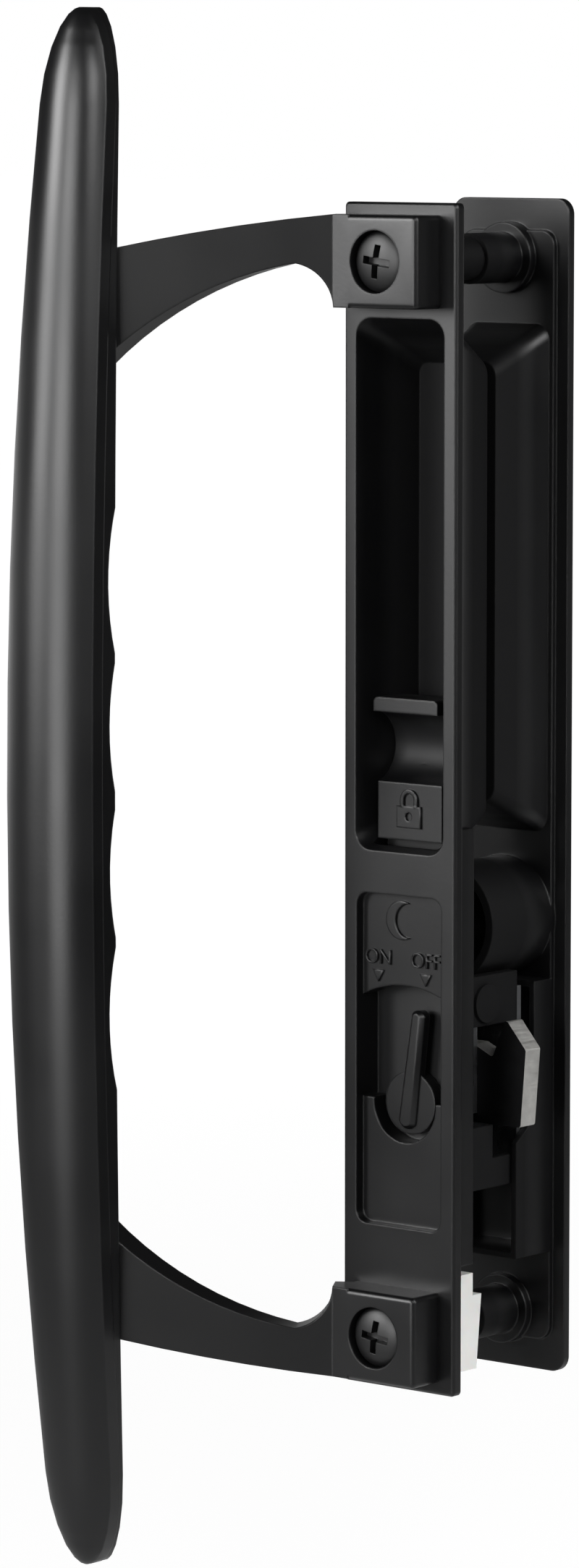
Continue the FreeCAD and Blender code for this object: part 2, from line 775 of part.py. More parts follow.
def make_thumb_slide():
    """Cast thumb slide: lip, scooped thumb rest, and the flag that goes behind the bridge."""
    body = new_body("thumb_slide")
    half = S.slide_width / 2
    lip_front = front + S.lip_recess
    lip_low = S.slide_rise - S.lip_height
    chord = lip_low - S.flag_top
    sag = slide_back - S.slide_wall - slide_front
    scoop = (chord * chord / 4 + sag * sag) / (2 * sag)
    pad(body, "slide", "YZ", -half, half, [
        (slide_front, S.flag_top, scoop, -1), (slide_front, -S.slide_drop), (flag_back, -S.slide_drop),
        (flag_back, S.flag_top), (slide_back, S.flag_top), (slide_back, S.slide_rise),
        (lip_front, S.slide_rise), (lip_front, lip_low), (slide_front, lip_low)])
    round_edges(body, "lip_round", S.lip_round,
                lambda e: runs_along("y")(e) and lies_at("z", S.slide_rise)(e))
    holes = [(0, S.upper_rivet, S.rivet_radius + S.shaft_gap),
             (0, S.lower_rivet, S.rivet_radius + S.shaft_gap)]
    pocket(body, "rivet_holes", "XZ", slide_back - S.rivet_depth, slide_back, *holes)


def make_slide_carrier():
    """Folded steel strip from the back of the thumb slide to the hook, with a tab for the night lock."""
    body = new_body("slide_carrier")
    half = S.carrier_width / 2
    web_low = S.carrier_web + S.carrier_thick
    strip = S.hook_front - S.carrier_thick
    pad(body, "strip", "YZ", -half, half, [
        (slide_back, S.carrier_top), (slide_back, -web_low), (strip, -web_low), (strip, -S.carrier_bottom),
        (S.hook_front, -S.carrier_bottom), (S.hook_front, -S.carrier_web),
        (carrier_back, -S.carrier_web), (carrier_back, S.carrier_top)])
    tab_front = cam_front + S.running_gap
    pad(body, "tab", "XZ", tab_front, S.hook_front,
        box(-S.tab_reach, S.tab_width - S.tab_reach, -(S.tab_height + S.carrier_thick), -S.tab_height))
    pocket(body, "spring_relief", "XZ", strip, S.hook_front,
           box(-half, S.carrier_relief - half, -S.carrier_bottom, -S.carrier_relief_top))
    hole = S.rivet_radius + S.shaft_gap
    pocket(body, "slide_holes", "XZ", slide_back, carrier_back,
           (0, S.upper_rivet, hole), (0, S.lower_rivet, hole))
    pocket(body, "hook_holes", "XZ", strip, S.hook_front,
           (S.hook_rivet_x, -S.hook_rivet_upper, hole), (S.hook_rivet_x, -S.hook_rivet_lower, hole))


def make_rivet(name, x, tail, head_seat, z):
    """A rivet with its head on a face and its shank running from there to the tail level."""
    body = new_body(name)
    out = 1 if head_seat.value > tail.value else -1
    head = head_seat + out * S.rivet_head_height
    revolve(body, "rivet", [
        (0, tail), (S.rivet_radius, tail), (S.rivet_radius, head_seat), (S.rivet_head_radius, head_seat),
        (S.rivet_head_radius, head), (0, head)])
    place(body, x, 0, z)


def make_hook():
    """Hook cut from thick steel plate, with a ramped nose and a tail arm over the spring."""
    body = new_body("hook")
    pad(body, "blank", "XZ", S.hook_front, hook_back, [
        (-S.hook_heel, -S.hook_bottom), (S.hook_nose - S.hook_rake, -S.hook_bottom),
        (S.hook_nose, -S.hook_ramp_top), (S.hook_tip, -S.hook_tip_height),
        (S.hook_notch, -S.hook_notch_height), (S.hook_shoulder, -S.hook_top),
        (-S.hook_tail, -S.hook_top), (-S.hook_tail, -arm_bottom), (-S.hook_heel, -arm_bottom)])
    round_edges(body, "corners", S.hook_round, lambda e: runs_along("y")(e) and e.Vertexes[0].X > 0)
    hole = S.rivet_radius + S.shaft_gap
    pocket(body, "rivet_holes", "XZ", S.hook_front, hook_back,
           (S.hook_rivet_x, -S.hook_rivet_upper, hole), (S.hook_rivet_x, -S.hook_rivet_lower, hole))


def make_latch_spring():
    """Compression spring under the hook's tail arm, and the pin that guides it."""
    pin = new_body("spring_guide")
    pad(pin, "pin", "XY", -case_floor, S.guide_length - case_floor,
        (-S.spring_x, spring_depth, S.guide_radius))
    rise = case_floor - arm_bottom - S.spring_wire
    path = doc.addObject("Part::Helix", "spring_path")
    path.setExpression("Radius", S.spring_radius.text)
    path.setExpression("Height", rise.text)
    path.setExpression("Pitch", (rise / S.spring_turns).text)
    place(path, -S.spring_x, spring_depth, S.spring_wire / 2 - case_floor)
    section = doc.addObject("Part::RegularPolygon", "spring_section")
    section.Polygon = WIRE_FLAT_COUNT
    section.setExpression("Circumradius", (S.spring_wire / 2).text)
    place(section, S.spring_radius - S.spring_x, spring_depth, S.spring_wire / 2 - case_floor)
    section.Placement.Rotation = FreeCAD.Rotation(FreeCAD.Vector(1, 0, 0), 90)
    spring = doc.addObject("Part::Sweep", "latch_spring")
    spring.Label = "latch_spring"
    spring.Sections = [section]
    spring.Spine = path
    spring.Solid = True
    spring.Frenet = True
    NODES.append(spring)


def make_night_lock():
    """Lever in the pocket, its cam behind the well, the push-on clip, and the leaf that steadies it."""
    lever = new_body("night_lock_lever")
    lever_front = front + S.lever_recess
    hub_back = well_face - S.slide_gap
    root, tip = S.lever_root_width / 2, S.lever_tip_width / 2
    top = S.lever_length - tip
    heel = S.hub_radius - root - S.lever_heel
    pad(lever, "hub", "XZ", lever_front + S.hub_step, hub_back, (0, 0, S.hub_radius))

    def finger(inset):
        low, high = root - inset, tip - inset
        return [(-low, -heel), (low, -heel, low + S.finger_ease, 1),
                (high, top), (-high, top, high + S.finger_ease, 1)]

    bevel_back = lever_front + S.finger_bevel
    pad(lever, "finger", "XZ", bevel_back, lever_front + S.lever_thick, finger(0))
    loft(lever, "finger_bevel", "Additive", "XZ", (lever_front, finger(S.finger_bevel)), (bevel_back, finger(0)))
    square = S.square_width / 2
    clip_seat = cam_back + S.shaft_gap
    pad(lever, "shaft", "XZ", hub_back, cam_front, (0, 0, S.shaft_radius))
    pad(lever, "square", "XZ", cam_front, clip_seat, box(-square, square, -square, square))
    pad(lever, "stub", "XZ", clip_seat, clip_seat + S.stub_length, (0, 0, S.stub_radius))

    cam = new_body("night_lock_cam")
    wide, narrow = S.lobe_width / 2, S.lobe_root_width / 2
    edge = (S.lobe_radius * S.lobe_radius - wide * wide).root()
    hole = square + S.shaft_gap
    pad(cam, "disc", "XZ", cam_front, cam_back, (0, 0, S.cam_radius))
    pad(cam, "lobe", "XZ", cam_front, cam_back, [
        (-narrow, 0), (narrow, 0), (wide, edge), (-wide, edge, S.lobe_radius, 1)])
    pocket(cam, "square_hole", "XZ", cam_front, cam_back, box(-hole, hole, -hole, hole))

    clip = new_body("lever_clip")
    pad(clip, "ring", "XZ", clip_seat, clip_seat + S.clip_thick,
        (0, 0, S.clip_radius), (0, 0, S.stub_radius + S.shaft_gap))

    leaf = new_body("night_lock_leaf")
    leaf_top = -(S.cam_radius + S.leaf_gap)
    leaf_front = cam_front + S.running_gap
    pad(leaf, "leaf", "XZ", leaf_front, leaf_front + S.leaf_width,
        box(-case_inside, case_inside, leaf_top - S.leaf_thick, leaf_top))
    for body in (lever, cam, clip, leaf):
        place(body, 0, 0, -S.pivot_height)
    for body in (lever, cam):
        body.Placement.Rotation = FreeCAD.Rotation(FreeCAD.Vector(0, 1, 0), S.lever_lean.value)
        body.setExpression("Placement.Rotation.Angle", S.lever_lean.text + " * 1 deg")


def make_case_cover():
    """Steel cover over the back of the lock case, its two screws, and the stud in the case's edge."""
    cover = new_body("case_cover")
    case = S.case_width / 2
    cover_back = S.case_back + S.cover_thick
    posts = [(cover_post_x, -cover_post_low), (-cover_post_x, -cover_post_high)]
    cover_top = S.cylinder_height + S.cylinder_radius + S.cover_top_gap
    pad(cover, "sheet_steel", "XZ", S.case_back, cover_back, box(-case, case, -case_bottom, -cover_top))
    pocket(cover, "screw_holes", "XZ", S.case_back, cover_back,
           *[(x, z, S.cover_screw_radius + S.shaft_gap) for x, z in posts])
    for name, (x, z) in zip(("lower_cover_screw", "upper_cover_screw"), posts):
        screw = new_body(name)
        tail = cover_back - S.cover_screw_length
        revolve(screw, "turned", [
            (0, tail), (S.cover_screw_radius, tail), (S.cover_screw_radius, cover_back),
            (S.cover_head_radius, cover_back), (S.cover_head_radius, cover_back + S.cover_head_height),
            (0, cover_back + S.cover_head_height)])
        place(screw, x, 0, z)
    stud = new_body("guide_stud")
    pad(stud, "shank", "YZ", case_inside - S.stud_reach, case,
        (S.stud_depth, -S.stud_height, S.stud_radius))
    pad(stud, "head", "YZ", case, case + S.stud_head_height,
        (S.stud_depth, -S.stud_height, S.stud_head_radius))


def make_lower_spacer():
    """Nylon block on the lower screw, between the plate and the outside boss."""
    body = new_body("lower_spacer")
    half = S.spacer_width / 2
    tongue_top = well_bottom + S.tongue_gap
    pad(body, "block", "YZ", -half, half, [
        (0, -S.spacer_bottom), (S.spacer_foot_depth, -S.spacer_bottom), (S.spacer_depth, -S.spacer_top),
        (S.tongue_depth, -S.spacer_top), (S.tongue_depth, -tongue_top), (0, -tongue_top)])
    pocket(body, "bore", "XZ", 0, S.spacer_depth, (0, -fixing, S.spacer_bore / 2))


def make_outside_plate():
    """Die-cast outside plate with flush finger cup, screw bosses, cylinder boss and box for the case."""
    body = new_body("outside_plate")
    back = outer_face + S.outer_thick
    half = S.outer_width / 2
    tall = S.outer_length / 2
    pad(body, "plate", "XZ", outer_face, back, round_box(-half, half, -tall, tall, S.outer_corner))
    bevel_edges(body, "plate_edges", S.outer_edge, lies_at("y", back))
    field_x = half - S.field_side_inset
    field_z = tall - S.field_end_inset
    field_face = outer_face - S.field_rise
    pad(body, "field", "XZ", field_face, outer_face,
        round_box(-field_x, field_x, -field_z, field_z, S.outer_corner))

    # Drafted shell of the flush cup, reaching into the door
    mouth = S.outer_cup_width / 2
    floor = S.outer_cup_floor / 2
    wall = S.outer_cup_wall
    cup_front = back - S.outer_cup_depth
    share = S.outer_thick / S.outer_cup_depth
    wide = mouth + wall - (mouth - floor) * share
    high = S.outer_cup_top + wall - S.outer_cup_end * share
    low = S.outer_cup_drop + wall - S.outer_cup_end * share
    shell_base = round_box(-wide, wide, -low, high, S.outer_cup_corner)
    shell_front = round_box(
        -(floor + wall), floor + wall, -(S.outer_cup_drop - S.outer_cup_end + wall),
        S.outer_cup_top - S.outer_cup_end + wall, S.outer_cup_corner)
    loft(body, "cup_shell", "Additive", "XZ", (outer_face, shell_base), (cup_front - wall, shell_front))

    # Screw bosses with wider feet, the cylinder boss, and the stepped box that takes the lock case
    ends = [(0, side * fixing) for side in (1, -1)]
    pad(body, "bosses", "XZ", boss_meet, outer_face, *[(x, z, S.outer_boss_radius) for x, z in ends])
    pad(body, "boss_feet", "XZ", field_face - S.boss_base_height, outer_face,
        *[(x, z, S.boss_base_radius) for x, z in ends])
    pad(body, "cylinder", "XZ", S.cylinder_front, outer_face, (0, -S.cylinder_height, S.cylinder_radius))
    outside = S.case_width / 2 + S.running_gap + S.box_wall
    bottom = S.box_top + S.box_length
    step_end = S.box_step_top + S.box_step_drop
    pad(body, "box", "YZ", -outside, outside, [
        (outer_face, -bottom), (outer_face, -S.box_top), (S.box_low_rim, -S.box_top),
        (S.box_low_rim, -S.box_step_top), (S.box_high_rim, -step_end), (S.box_high_rim, -bottom)])
    room = S.case_width / 2 + S.running_gap
    pocket(body, "box_room", "XZ", S.box_high_rim, field_face,
           box(-room, room, S.box_wall - bottom, -(S.box_top + S.box_wall)))

    # Hollows: the finger cup from outside, the cylinder's blind bore and the tapped boss bores
    mouth_box = round_box(-mouth, mouth, -S.outer_cup_drop, S.outer_cup_top, S.outer_cup_corner)
    floor_box = round_box(
        -floor, floor, S.outer_cup_end - S.outer_cup_drop, S.outer_cup_top - S.outer_cup_end,
        S.outer_cup_corner - wall)
    loft(body, "cup_hollow", "Subtractive", "XZ", (back, mouth_box), (cup_front, floor_box))
    pocket(body, "cylinder_bore", "XZ", S.cylinder_front, outer_face - S.cylinder_floor,
           (0, -S.cylinder_height, S.cylinder_bore))
    pocket(body, "screw_bores", "XZ", boss_meet, outer_face - S.boss_bore_floor + S.outer_thick,
           *[(x, z, S.screw_radius + S.shaft_gap) for x, z in ends])


make_inside_plate()
make_pull_handle()
make_fixing_screw("upper_fixing_screw", 1)
make_fixing_screw("lower_fixing_screw", -1)
make_thumb_slide()
make_slide_carrier()
make_rivet("upper_slide_rivet", 0, slide_back - S.rivet_depth, carrier_back, S.upper_rivet)
make_rivet("lower_slide_rivet", 0, slide_back - S.rivet_depth, carrier_back, S.lower_rivet)
make_hook()
carrier_front = S.hook_front - S.carrier_thick
make_rivet("upper_hook_rivet", S.hook_rivet_x, hook_back, carrier_front, -S.hook_rivet_upper)
make_rivet("lower_hook_rivet", S.hook_rivet_x, hook_back, carrier_front, -S.hook_rivet_lower)
make_latch_spring()
make_night_lock()
make_case_cover()
make_lower_spacer()
make_outside_plate()
doc.recompute()

for item in doc.Objects:
    faults = [state for state in item.State if state in ("Invalid", "Error")]
    if faults:
        raise RuntimeError(f"{item.Label} is {faults}")
for node in NODES:
    if node.Shape.isNull() or not node.Shape.isValid():
        raise RuntimeError(f"{node.Label} has no valid shape")

os.makedirs("parts", exist_ok=True)
for node in NODES:
    node.Shape.exportStep(f"parts/{node.Label}.step")
    print(f"{node.Label}: {len(node.Shape.Solids)} solid, {node.Shape.Volume:.1f} mm3")
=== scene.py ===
import math

import bmesh
import bpy
from mathutils import Matrix, Vector


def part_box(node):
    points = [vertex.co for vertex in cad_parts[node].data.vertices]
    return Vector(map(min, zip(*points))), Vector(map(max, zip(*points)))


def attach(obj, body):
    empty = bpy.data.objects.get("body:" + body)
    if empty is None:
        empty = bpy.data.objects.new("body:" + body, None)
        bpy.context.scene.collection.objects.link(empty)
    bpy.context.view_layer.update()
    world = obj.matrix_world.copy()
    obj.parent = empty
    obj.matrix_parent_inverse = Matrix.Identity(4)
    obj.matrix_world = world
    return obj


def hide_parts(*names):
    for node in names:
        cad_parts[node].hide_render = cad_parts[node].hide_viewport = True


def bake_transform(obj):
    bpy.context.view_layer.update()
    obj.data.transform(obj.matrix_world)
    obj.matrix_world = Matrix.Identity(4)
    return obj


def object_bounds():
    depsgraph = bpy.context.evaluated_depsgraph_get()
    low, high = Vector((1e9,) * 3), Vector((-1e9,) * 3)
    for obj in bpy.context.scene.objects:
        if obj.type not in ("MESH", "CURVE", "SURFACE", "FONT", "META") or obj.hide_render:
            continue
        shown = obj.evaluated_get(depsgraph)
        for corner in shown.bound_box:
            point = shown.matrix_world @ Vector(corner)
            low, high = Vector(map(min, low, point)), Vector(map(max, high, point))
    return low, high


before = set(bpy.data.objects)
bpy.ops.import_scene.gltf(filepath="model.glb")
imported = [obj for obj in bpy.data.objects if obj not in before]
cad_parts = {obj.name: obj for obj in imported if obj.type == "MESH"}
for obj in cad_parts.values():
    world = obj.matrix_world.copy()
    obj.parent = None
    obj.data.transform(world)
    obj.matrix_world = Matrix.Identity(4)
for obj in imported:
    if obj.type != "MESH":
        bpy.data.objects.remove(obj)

CAD_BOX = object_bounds()

bl_info = {
    "name": "Patio door handle set",
    "version": (1, 0, 0),
    "blender": (4, 5, 0),
    "location": "3D View > Sidebar > Handle",
    "description": "Finishes, screws, spring, raised signs and studio of a sliding patio door handle set",
    "category": "Object",
}

MM = 0.001
# The way from the object to the backdrop, level and straight away from the camera
BACKDROP_WAY = (-0.64, 0.77, 0.0)
CASTINGS = ("inside_plate", "outside_plate", "pull_handle", "thumb_slide", "night_lock_lever")
PLATED = (
    "case_cover", "slide_carrier", "night_lock_cam", "spring_guide", "upper_slide_rivet", "lower_slide_rivet",
    "upper_hook_rivet", "lower_hook_rivet", "upper_cover_screw", "lower_cover_screw",
)
SPRUNG = ("lever_clip", "night_lock_leaf")


def linear(code):
    """Linear red, green and blue of an sRGB hex code."""
    parts = [int(code[at:at + 2], 16) / 255 for at in (1, 3, 5)]
    return tuple(part / 12.92 if part <= 0.04045 else ((part + 0.055) / 1.055) ** 2.4 for part in parts)


def colour(name, description, code):
    """A colour property with a hex code as its default."""
    return bpy.props.FloatVectorProperty(
        name=name, description=description, subtype="COLOR", size=3, min=0, max=1, default=linear(code))


def measure(name, description, millimetres):
    """A length property with its default in millimetres."""
    return bpy.props.FloatProperty(
        name=name, description=description, default=millimetres * MM, unit="LENGTH", precision=5)


def angle(name, description, degrees):
    """An angle property with its default in degrees."""
    return bpy.props.FloatProperty(
        name=name, description=description, default=math.radians(degrees), unit="ROTATION", precision=4)


def power(name, description, watts):
    """A lamp's power as a property."""
    return bpy.props.FloatProperty(name=name, description=description, default=watts, unit="POWER")


class HandleSizes(bpy.types.PropertyGroup):
    """Sizes of what is added to the castings."""

    thread_pitch: measure("Thread pitch", "Rise of the screw thread in one turn", 0.8)
    thread_depth: measure("Thread depth", "Height of the thread's ridge", 0.42)
    recess_length: measure("Recess length", "Length of each bar of the cross recess", 5.2)
    recess_width: measure("Recess width", "Width of each bar of the cross recess", 1.15)
    recess_depth: measure("Recess depth", "Depth of the cross recess", 1.7)
    recess_turn: angle("Recess turn", "How far the cross recess is turned", 8)
    screw_width: measure("Screw width", "Outside diameter of the screw thread", 4.16)
    head_height: measure("Head height", "Height of the screw head", 2.4)
    head_dome: measure("Head dome", "Height of the domed top of the screw head", 1.4)
    label_level: measure("Label level", "Place of the night lock's label along Y", -0.2)
    flag_level: measure("Flag level", "Place of the thumb slide's flag along Y", 0.9)
    sign_rise: measure("Sign relief", "How far the raised signs stand out", 0.4)
    letter_height: measure("Letter height", "Height of the letters at the lever", 2.4)
    left_sign: measure("Left sign", "Place of the left word and pointer along X", -5.2)
    right_sign: measure("Right sign", "Place of the right word and pointer along X", 4.3)
    moon_place: measure("Moon", "Place of the moon along Z", -18.9)
    word_place: measure("Words", "Place of the words along Z", -25.1)
    pointer_place: measure("Pointers", "Place of the pointers along Z", -27.9)
    padlock_place: measure("Padlock", "Height of the padlock over the slide's lower end", 4.6)
    grit: measure("Paint grain", "Size of the paint's orange peel", 0.55)
    edge_round: measure("Edge softness", "Radius that the paint gives to cast edges", 0.4)


class HandleColours(bpy.types.PropertyGroup):
    """Colours of the finishes."""

    coat: colour("Powder coat", "Satin black coat of the castings", "#080809")
    screw: colour("Screw lacquer", "Black lacquer of the fixing screws and the stud", "#09090A")
    sheared: colour("Sheared steel", "Bright sheared edges of the hook", "#E8E7E3")
    skin: colour("Strip skin", "Dark skin of the hook's steel strip", "#2A2A2B")
    plated: colour("Zinc plate", "Zinc plate of the small steel pieces", "#A9ABAD")
    spring: colour("Spring steel", "Drawn spring steel", "#84858A")
    nylon: colour("Nylon", "Moulded white nylon of the spacer", "#E9E9E6")
    floor: colour("Floor", "Pale studio floor", "#F4F4F4")


class HandleStage(bpy.types.PropertyGroup):
    """Camera and light of the studio."""

    lens: bpy.props.FloatProperty(
        name="Lens", description="Focal length on a 36 mm long side", default=147.24, unit="CAMERA")
    camera_place: bpy.props.FloatVectorProperty(
        name="Camera", description="Place of the camera", subtype="TRANSLATION", size=3, precision=5,
        default=(0.626725, -0.77503, 0.11242))
    azimuth: angle("Azimuth", "How far round to the right the camera stands", 40.009)
    pitch: angle("Pitch", "How far down the camera looks", 6.289)
    key: power("Key", "Power of the tall softbox in front", 0.49)
    side: power("Side", "Power of the softbox on the left", 0.56)
    rim: power("Rim", "Power of the softbox at the lock edge", 0.85)
    fill: power("Fill", "Power of the softbox over the camera", 0.35)
    drop: measure("Floor drop", "Distance from the object's lowest point to the floor", 30)


def add(tree, kind, inputs=None, **settings):
    """Adds a node with its settings, and sets its inputs or links them to one socket or a list of sockets."""
    item = tree.nodes.new(kind)
    for name, value in settings.items():
        setattr(item, name, value)
    for name, value in (inputs or {}).items():
        sources = value if isinstance(value, list) else [value]
        if isinstance(sources[0], bpy.types.NodeSocket):
            for source in sources:
                tree.links.new(source, item.inputs[name])
        else:
            item.inputs[name].default_value = value
    return item


def blank_material(name):
    """An empty node material and its tree."""
    material = bpy.data.materials.new(name)
    material.use_nodes = True
    material.node_tree.nodes.clear()
    return material, material.node_tree


def close_material(tree, shader):
    """Links a shader to the material's output."""
    add(tree, "ShaderNodeOutputMaterial", {"Surface": shader.outputs[0]})


def noise(tree, place, width, detail=3.0):
    """A noise with spots of the given width."""
    return add(tree, "ShaderNodeTexNoise", {"Vector": place, "Scale": 1 / width, "Detail": detail})


def ranged(tree, source, low, high, reach=0.2):
    """The middle of a noise, as far as its reach from one half, stretched between two values."""
    return add(tree, "ShaderNodeMapRange", {
        "Value": source.outputs["Fac"], "From Min": 0.5 - reach, "From Max": 0.5 + reach,
        "To Min": low, "To Max": high}).outputs["Result"]


def shaded(tree, base, factor):
    """A colour made lighter or darker by a factor."""
    return add(tree, "ShaderNodeVectorMath", {0: base, "Scale": factor}, operation="SCALE").outputs["Vector"]


def powder_coat(name, rgb, grain, edge, roughness):
    """Satin black coat, of powder on the castings or lacquer on steel: even, with a fine orange peel.

    In the cups and the room between the plates the coat is made rougher and reflects less: painted shade,
    where little light reaches.
    """
    material, tree = blank_material(name)
    place = add(tree, "ShaderNodeTexCoord").outputs["Object"]
    # Painted shade: near the middle of the room between the plates the coat gets rougher and reflects less
    room_middle, full_shade_reach, shade_fade_reach, shade_dulling = 12.5 * MM, 6 * MM, 10 * MM, 0.3
    depth = add(tree, "ShaderNodeSeparateXYZ", {"Vector": place})
    inside = add(tree, "ShaderNodeMath", {0: depth.outputs["Y"], 1: room_middle}, operation="SUBTRACT")
    away = add(tree, "ShaderNodeMath", {0: inside.outputs[0]}, operation="ABSOLUTE")
    painted_recess_shade = add(tree, "ShaderNodeMapRange", {
        "Value": away.outputs[0], "From Min": full_shade_reach, "From Max": shade_fade_reach,
        "To Min": shade_dulling, "To Max": 0.0}).outputs["Result"]
    # The painted shade takes from the reflection
    mirror = add(tree, "ShaderNodeMath", {0: 0.5, 1: painted_recess_shade}, operation="SUBTRACT")
    peel = noise(tree, place, grain, detail=2.0)
    cloud = noise(tree, place, 40 * grain, detail=2.0)
    gloss = ranged(tree, cloud, roughness - 0.03, roughness + 0.03)
    dull = add(tree, "ShaderNodeMath", {0: gloss, 1: painted_recess_shade})
    soft = add(tree, "ShaderNodeBevel", {"Radius": edge}, samples=4)
    bump = add(tree, "ShaderNodeBump", {
        "Height": peel.outputs["Fac"], "Normal": soft.outputs["Normal"], "Strength": 0.12,
        "Distance": 0.06 * MM})
    shader = add(tree, "ShaderNodeBsdfPrincipled", {
        "Base Color": shaded(tree, (*rgb,), ranged(tree, peel, 0.85, 1.15, reach=0.15)),
        "Roughness": dull.outputs[0], "Specular IOR Level": mirror.outputs[0],
        "Normal": bump.outputs["Normal"]})
    close_material(tree, shader)
    return material


def rolled_steel(name, rgb, spacing, roughness, dark):
    """Steel with the fine parallel lines of rolling or drawing, a little darker in patches."""
    material, tree = blank_material(name)
    place = add(tree, "ShaderNodeTexCoord").outputs["Object"]
    # Real lines are finer, and these are as coarse as they need to be to show
    stretch = add(tree, "ShaderNodeMapping", {"Vector": place, "Scale": (1.0, 1.0, 0.08)})
    lines = noise(tree, stretch.outputs["Vector"], spacing)
    patches = noise(tree, place, 12 * spacing)
    bump = add(tree, "ShaderNodeBump", {
        "Height": lines.outputs["Fac"], "Strength": 0.15, "Distance": 0.03 * MM})
    shader = add(tree, "ShaderNodeBsdfPrincipled", {
        "Base Color": shaded(tree, (*rgb,), ranged(tree, patches, dark, 1.0)), "Metallic": 1.0,
        "Roughness": ranged(tree, lines, roughness - 0.07, roughness + 0.07),
        "Normal": bump.outputs["Normal"]})
    close_material(tree, shader)
    return material


def blanked_steel(name, rgb, skin):
    """Blackened strip steel, blanked in a press: dark oily faces, and bright edges streaked by the shear."""
    material, tree = blank_material(name)
    coords = add(tree, "ShaderNodeTexCoord").outputs
    facing = add(tree, "ShaderNodeSeparateXYZ", {0: coords["Normal"]})
    square = add(tree, "ShaderNodeMath", {0: facing.outputs["Y"]}, operation="ABSOLUTE")
    face = add(tree, "ShaderNodeMapRange", {"Value": square.outputs[0], "From Min": 0.55, "From Max": 0.85})
    streak_spacing, patch_width = 0.3 * MM, 3 * MM
    stretch = add(tree, "ShaderNodeMapping", {"Vector": coords["Object"], "Scale": (1.0, 0.1, 1.0)})
    streaks = noise(tree, stretch.outputs["Vector"], streak_spacing)
    patches = noise(tree, coords["Object"], patch_width)
    metal = add(tree, "ShaderNodeMix", {
        "Factor": face.outputs["Result"], "A": (*rgb, 1.0), "B": (*skin, 1.0)}, data_type="RGBA")
    bump = add(tree, "ShaderNodeBump", {
        "Height": streaks.outputs["Fac"], "Strength": 0.2, "Distance": 0.03 * MM})
    shader = add(tree, "ShaderNodeBsdfPrincipled", {
        "Base Color": shaded(tree, metal.outputs["Result"], ranged(tree, patches, 0.75, 1.0)),
        "Metallic": 1.0, "Roughness": ranged(tree, streaks, 0.42, 0.56), "Normal": bump.outputs["Normal"]})
    close_material(tree, shader)
    return material


def moulded_nylon(name, rgb):
    """White nylon from a blasted mould: milky, with light let a little way in and a fine matt grain."""
    material, tree = blank_material(name)
    place = add(tree, "ShaderNodeTexCoord").outputs["Object"]
    grain_width, cloud_width = 0.4 * MM, 6 * MM
    grain = noise(tree, place, grain_width)
    cloud = noise(tree, place, cloud_width, detail=2.0)
    bump = add(tree, "ShaderNodeBump", {
        "Height": grain.outputs["Fac"], "Strength": 0.15, "Distance": 0.05 * MM})
    shader = add(tree, "ShaderNodeBsdfPrincipled", {
        "Base Color": shaded(tree, (*rgb,), ranged(tree, cloud, 0.93, 1.0)), "Roughness": 0.48, "IOR": 1.53,
        "Subsurface Weight": 0.15, "Subsurface Scale": 0.8 * MM, "Normal": bump.outputs["Normal"]})
    close_material(tree, shader)
    return material


def dress(nodes, material):
    """Puts one material on CAD nodes and smooths their shading."""
    for name in nodes:
        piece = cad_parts[name]
        piece.data.materials.clear()
        piece.data.materials.append(material)
        piece.modifiers.new("smooth_faces", "NODES").node_group = smooth_faces()


def smooth_faces():
    """A node tree that joins a solid's faces and keeps only its real edges sharp."""
    tree = bpy.data.node_groups.get("smooth_faces")
    if tree:
        return tree
    tree = bpy.data.node_groups.new("smooth_faces", "GeometryNodeTree")
    tree.interface.new_socket("Geometry", in_out="INPUT", socket_type="NodeSocketGeometry")
    tree.interface.new_socket("Geometry", in_out="OUTPUT", socket_type="NodeSocketGeometry")
    start = add(tree, "NodeGroupInput")
    join_distance, smooth_limit = 0.002 * MM, math.radians(24)
    plain = add(tree, "GeometryNodeRemoveAttribute", {
        "Geometry": start.outputs[0], "Name": "custom_normal"})
    joined = add(tree, "GeometryNodeMergeByDistance", {
        "Geometry": plain.outputs[0], "Distance": join_distance})
    smooth = add(tree, "GeometryNodeSetShadeSmooth", {"Geometry": joined.outputs[0], "Shade Smooth": True})
    fold = add(tree, "GeometryNodeInputMeshEdgeAngle")
    sharp = add(tree, "FunctionNodeCompare", {
        0: fold.outputs["Unsigned Angle"], 1: smooth_limit}, operation="GREATER_THAN")
    edged = add(tree, "GeometryNodeSetShadeSmooth", {
        "Geometry": smooth.outputs[0], "Selection": sharp.outputs[0], "Shade Smooth": False}, domain="EDGE")
    add(tree, "NodeGroupOutput", {0: edged.outputs[0]})
    return tree


def baked(item):
    """The plain mesh of an object with its modifiers applied."""
    return bpy.data.meshes.new_from_object(item.evaluated_get(bpy.context.evaluated_depsgraph_get()))


def lathe(profile, count):
    """A closed mesh turned about the Y axis from points given as (radius, place along Y)."""
    work = bmesh.new()
    rings = []
    for radius, along in profile:
        turns = [math.tau * step / count for step in range(count)] if radius else [0.0]
        rings.append([
            work.verts.new((radius * math.cos(turn), along, radius * math.sin(turn))) for turn in turns])
    for one, two in zip(rings, rings[1:]):
        for step in range(count):
            after = (step + 1) % count
            corners = [
                one[step % len(one)], one[after % len(one)], two[after % len(two)], two[step % len(two)]]
            work.faces.new(list(dict.fromkeys(corners)))
    bmesh.ops.recalc_face_normals(work, faces=work.faces)
    mesh = bpy.data.meshes.new("lathed")
    work.to_mesh(mesh)
    work.free()
    return mesh


